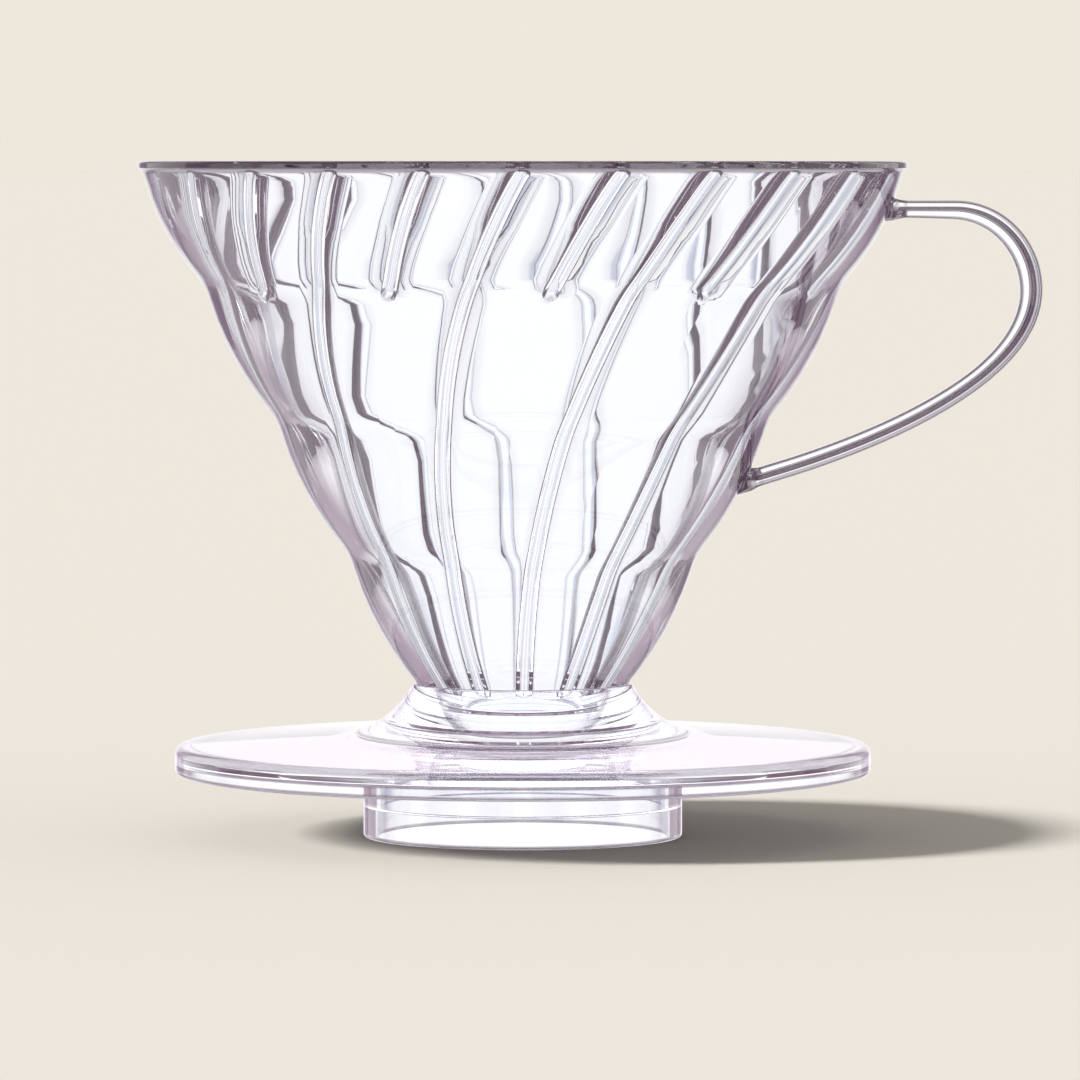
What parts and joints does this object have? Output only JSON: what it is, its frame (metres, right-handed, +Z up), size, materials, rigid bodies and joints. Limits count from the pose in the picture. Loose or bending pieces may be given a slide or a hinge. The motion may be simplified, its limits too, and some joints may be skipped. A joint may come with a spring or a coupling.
{
  "type": "pour over dripper",
  "caption": "Clear conical coffee dripper with a tiered, spirally ribbed funnel, a loop handle, a flared round saucer and a seat ring that centres it on a server.",
  "frame": {"origin": "on the funnel's axis, in the plane of the seat ring's foot", "axes": "+Z up the axis to the mouth, +X out to the handle, +Y to the far side seen from the front"},
  "size_m": [0.1361, 0.116, 0.102],
  "materials": {
    "clear_plastic": "clear, glossy moulded plastic"
  },
  "bodies": {
    "root": {"cone": "clear_plastic", "saucer": "clear_plastic", "seat_ring": "clear_plastic", "handle": "clear_plastic"}
  },
  "joints": []
}
